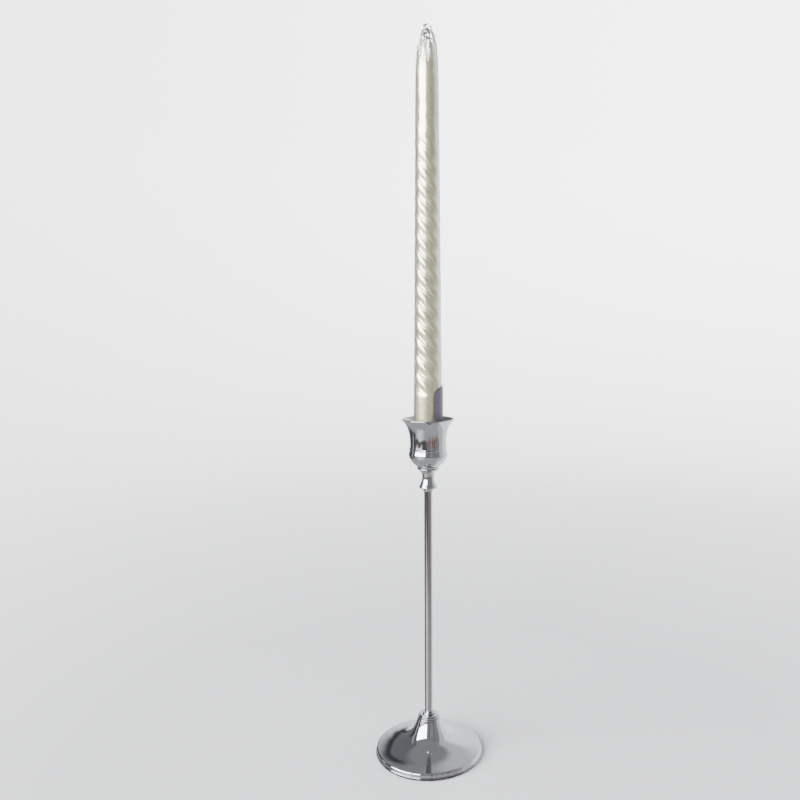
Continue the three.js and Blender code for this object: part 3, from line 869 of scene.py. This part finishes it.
def label():
    """A thin strip bent round the film, its upper edge on a slant and its corners rounded."""
    start, sweep = math.radians(-62), math.radians(66)
    inner, skin = 12.16, 0.12
    columns, rows = 36, 26
    rise, corner = 8.0, 0.9
    ripple, curl = 0.05, 0.16
    tall = LABEL_TOP - LABEL_LOW - rise
    front, back = [], []
    for i in range(columns + 1):
        u = i / columns
        angle = start + sweep * u
        from_side = min(min(u, 1 - u) * sweep * inner, corner)
        cut = corner - math.sqrt(max(corner ** 2 - (corner - from_side) ** 2, 0))
        low, high = LABEL_LOW + cut, LABEL_LOW + tall + rise * u - cut
        for k in range(rows + 1):
            v = k / rows
            radius = inner + ripple * noise.noise(Vector((u * 4, v * 3, 7)))
            radius += curl * smoothstep(abs(u - 0.5), 0.44, 0.5)
            for face, r in ((back, radius), (front, radius + skin)):
                face.append((r * math.cos(angle), r * math.sin(angle), lerp(low, high, v)))
    count = len(front)

    def at(i, k):
        return i * (rows + 1) + k

    faces = []
    for i in range(columns):
        for k in range(rows):
            a, b, c, d = at(i, k), at(i + 1, k), at(i + 1, k + 1), at(i, k + 1)
            faces.append([a, b, c, d])
            faces.append([count + d, count + c, count + b, count + a])
    border = ([at(i, 0) for i in range(columns)] + [at(columns, k) for k in range(rows)]
              + [at(i, rows) for i in range(columns, 0, -1)] + [at(0, k) for k in range(rows, 0, -1)])
    for a, b in zip(border, border[1:] + border[:1]):
        faces.append([b, a, count + a, count + b])
    return front + back, faces


piece("film", *film(), FILM, "wrap", ["film_sleeve"], "clear_film", sharp=50)
piece("sticker", *label(), PAPER, "wrap", ["label"], "label_paper", sharp=40)


# ---- Floor, backdrop, light and camera ----

def plain_card():
    """Matt pale card. It gives off more light with distance from the object, as a lit backdrop does."""
    s = Shader("stage_card")
    radius, height = s.radius_and_height()
    away = s.math("ADD", radius, s.math("MULTIPLY", height, 0.6))
    s.set(
        Base_Color=s.blend(s.noise(600, detail=2), (0.58, 0.59, 0.60), (0.61, 0.62, 0.63)),
        Roughness=0.9,
        Emission_Color=(0.985, 0.995, 1, 1),
        Emission_Strength=s.remap(away, 0.3, 2.6, 0.0, 2.9),
    )
    return s.material


def stage():
    """Floor and backdrop in one sweep. The chrome mirrors the room in the world instead."""
    segments, floor_radius, sweep, top = 96, 1.1, 1.0, 3.2
    floor_rings = [(0.3, 0), (floor_radius, 0)]
    wall_rings = [*arc((floor_radius, sweep), sweep, -90, 0, 32)[1:], (floor_radius + sweep, top)]
    vertices, rings = [], []
    add_pole(vertices, rings, segments, 0)
    for radius, height in floor_rings + wall_rings:
        add_ring(vertices, rings, level_ring(radius, height, segments))
    edge = len(floor_rings)
    card = plain_card()
    for name, part in (("stage_floor", rings[:edge + 1]), ("stage_wall", rings[edge:])):
        mesh = bpy.data.meshes.new(name)
        mesh.from_pydata(vertices, [], joined(part))
        mesh.shade_smooth()
        mesh.materials.append(card)
        shell = bpy.data.objects.new(name, mesh)
        scene.collection.objects.link(shell)
        shell.visible_glossy = False
        if name == "stage_wall":
            shell.visible_diffuse = False
            shell.visible_shadow = False


stage()


class Room:
    """The room round the stage, painted by direction. Azimuth 0 is behind the object and 90 is right.
    Loose edges wander by up to half of DRIFT degrees."""

    DRIFT = 22

    def __init__(self, colour):
        self.world = bpy.data.worlds.new("studio")
        self.world.use_nodes = True
        self.tree = self.world.node_tree
        self.tree.nodes.clear()
        self.colour = colour
        split = self.tree.nodes.new("ShaderNodeSeparateXYZ")
        self.direction = self.tree.nodes.new("ShaderNodeTexCoord").outputs["Generated"]
        self.feed(split.inputs[0], self.direction)
        self.azimuth = self.maths("DEGREES", self.maths("ARCTAN2", split.outputs[0], split.outputs[1]))
        self.elevation = self.maths("DEGREES", self.maths("ARCSINE", split.outputs[2]))
        drift = self.maths("MULTIPLY", self.maths("SUBTRACT", self.cloud(2.2), 0.5), self.DRIFT)
        self.loose_azimuth = self.maths("ADD", self.azimuth, drift)
        self.loose_elevation = self.maths("ADD", self.elevation, self.maths("MULTIPLY", drift, 0.7))

    def feed(self, socket, value):
        if isinstance(value, bpy.types.NodeSocket):
            self.tree.links.new(value, socket)
        else:
            socket.default_value = value

    def maths(self, operation, *values):
        node = self.tree.nodes.new("ShaderNodeMath")
        node.operation = operation
        for socket, value in zip(node.inputs, values):
            self.feed(socket, value)
        return node.outputs[0]

    def cloud(self, scale):
        node = self.tree.nodes.new("ShaderNodeTexNoise")
        self.feed(node.inputs["Vector"], self.direction)
        node.inputs["Scale"].default_value = scale
        node.inputs["Detail"].default_value = 4
        return node.outputs["Fac"]

    def ramp(self, value, low, high):
        node = self.tree.nodes.new("ShaderNodeMapRange")
        node.interpolation_type = "SMOOTHSTEP"
        for socket, number in zip(node.inputs, (value, low, high, 0.0, 1.0)):
            self.feed(socket, number)
        return node.outputs[0]

    def bars(self, width, low, high):
        """Upright bars of uneven width, such as legs, curtains and shelves make."""
        node = self.tree.nodes.new("ShaderNodeTexNoise")
        node.noise_dimensions = "1D"
        self.feed(node.inputs["W"], self.maths("DIVIDE", self.azimuth, width))
        node.inputs["Scale"].default_value = 1
        node.inputs["Detail"].default_value = 2
        return self.ramp(node.outputs["Fac"], low, high)

    def paint(self, tone, azimuths, elevations, soft, share=1.0, tight=False, bars=None):
        """Paints a share of a tone over a range of directions in degrees. soft is how far the upright
        and the level edges blur to each side. Tight edges are straight, and loose ones wander."""
        azimuth = self.azimuth if tight else self.loose_azimuth
        elevation = self.elevation if tight else self.loose_elevation
        mask = share
        for value, (low, high), blur in ((azimuth, azimuths, soft[0]), (elevation, elevations, soft[1])):
            mask = self.maths("MULTIPLY", mask, self.ramp(value, low - blur, low + blur))
            mask = self.maths("MULTIPLY", mask, self.ramp(value, high + blur, high - blur))
        if bars is not None:
            mask = self.maths("MULTIPLY", mask, bars)
        mix = self.tree.nodes.new("ShaderNodeMix")
        mix.data_type = "RGBA"
        self.feed(mix.inputs[0], mask)
        self.feed(mix.inputs[6], self.colour if not isinstance(self.colour, tuple) else (*self.colour, 1))
        self.feed(mix.inputs[7], (*tone, 1))
        self.colour = mix.outputs[2]

    def finish(self):
        background = self.tree.nodes.new("ShaderNodeBackground")
        self.feed(background.inputs[0], self.colour)
        output = self.tree.nodes.new("ShaderNodeOutputWorld")
        self.feed(output.inputs[0], background.outputs[0])
        scene.world = self.world


def surroundings():
    """A grey room: pale backdrop behind and right, dark corner on the left, table round the foot, a
    window at the front left, and dark furniture with warm wood at the front right."""
    room = Room((0.45, 0.46, 0.47))
    # Table top, paler towards the window
    room.paint((0.78, 0.79, 0.81), (-200, 200), (-95, -21), (5, 4))
    room.paint((1.9, 1.92, 2.0), (-150, -108), (-48, -17), (18, 5))
    # Backdrop
    room.paint((1.1, 1.12, 1.15), (-10, 104), (-60, 38), (4, 5), tight=True)
    room.paint((1.15, 1.17, 1.2), (2, 104), (-60, 55), (9, 7), tight=True)
    room.paint((2.2, 2.24, 2.3), (-10, 74), (-60, 33), (8, 6))
    # Dark corner, with a darker edge beside the backdrop, a low cabinet and a pale door post
    room.paint((0.27, 0.28, 0.295), (-94, -11.5), (-24, 54), (3, 6))
    room.paint((0.09, 0.095, 0.10), (-17.5, -13), (-24, 48), (2, 4))
    room.paint((0.10, 0.105, 0.115), (-94, -48), (-30, 14), (6, 5))
    room.paint((0.9, 0.92, 0.95), (-78, -70), (-24, 40), (2, 6))
    # Furniture: dark under the window, and at the front right dark, pale and warm uprights
    room.paint((0.10, 0.10, 0.11), (-178, -96), (-19, 2), (8, 3), share=0.8)
    dark, pale, warm = room.bars(7, 0.45, 0.56), room.bars(4.3, 0.56, 0.63), room.bars(5, 0.47, 0.6)
    room.paint((0.07, 0.07, 0.08), (108, 200), (-22, 44), (6, 8), share=0.75, bars=dark)
    room.paint((0.95, 0.96, 0.98), (112, 176), (-18, 40), (6, 10), share=0.8, bars=pale)
    room.paint((0.5, 0.17, 0.06), (112, 176), (-30, -8), (4, 4), share=0.9, bars=warm)
    # Sill lit by the window, the window, and its glazing bar
    room.paint((3.4, 2.9, 2.7), (-140, -100), (-8, 2), (5, 3))
    room.paint((22, 22.3, 23), (-163, -98), (4, 37), (1.5, 1.5), tight=True)
    room.paint((0.5, 0.5, 0.52), (-147.4, -145), (4, 37), (0.6, 1), tight=True)
    room.finish()


def soft_light(name, place, target, size, power, colour):
    """A round lamp that neither the camera nor the chrome sees."""
    data = bpy.data.lights.new(name, "AREA")
    data.shape = "DISK"
    data.size = size
    data.energy = power
    data.color = colour
    lamp = bpy.data.objects.new(name, data)
    lamp.location = place
    lamp.rotation_euler = (Vector(target) - Vector(place)).to_track_quat("-Z", "Y").to_euler()
    lamp.visible_camera = False
    lamp.visible_glossy = False
    scene.collection.objects.link(lamp)


surroundings()
soft_light("key", (-1.1, -0.5, 1.5), (0, 0, 0.2), 0.7, 29, (1, 0.99, 0.97))
soft_light("fill", (0.9, 0.2, 1.9), (0, 0.3, 0.3), 1.6, 11, (0.97, 0.98, 1))

CAMERA_PLACE = (0.0180, -0.6313, 0.3679)
PITCH_DOWN = 5.94
FOCAL_LENGTH = 34.99
SENSOR_WIDTH = 36
SIDE_SHIFT = -0.0625
NEAREST = 0.01
camera_data = bpy.data.cameras.new("camera")
camera_data.lens = FOCAL_LENGTH
camera_data.sensor_width = SENSOR_WIDTH
camera_data.shift_x = SIDE_SHIFT
camera_data.clip_start = NEAREST
camera = bpy.data.objects.new("camera", camera_data)
camera.location = CAMERA_PLACE
camera.rotation_euler = (math.radians(90 - PITCH_DOWN), 0, 0)
scene.collection.objects.link(camera)
scene.camera = camera
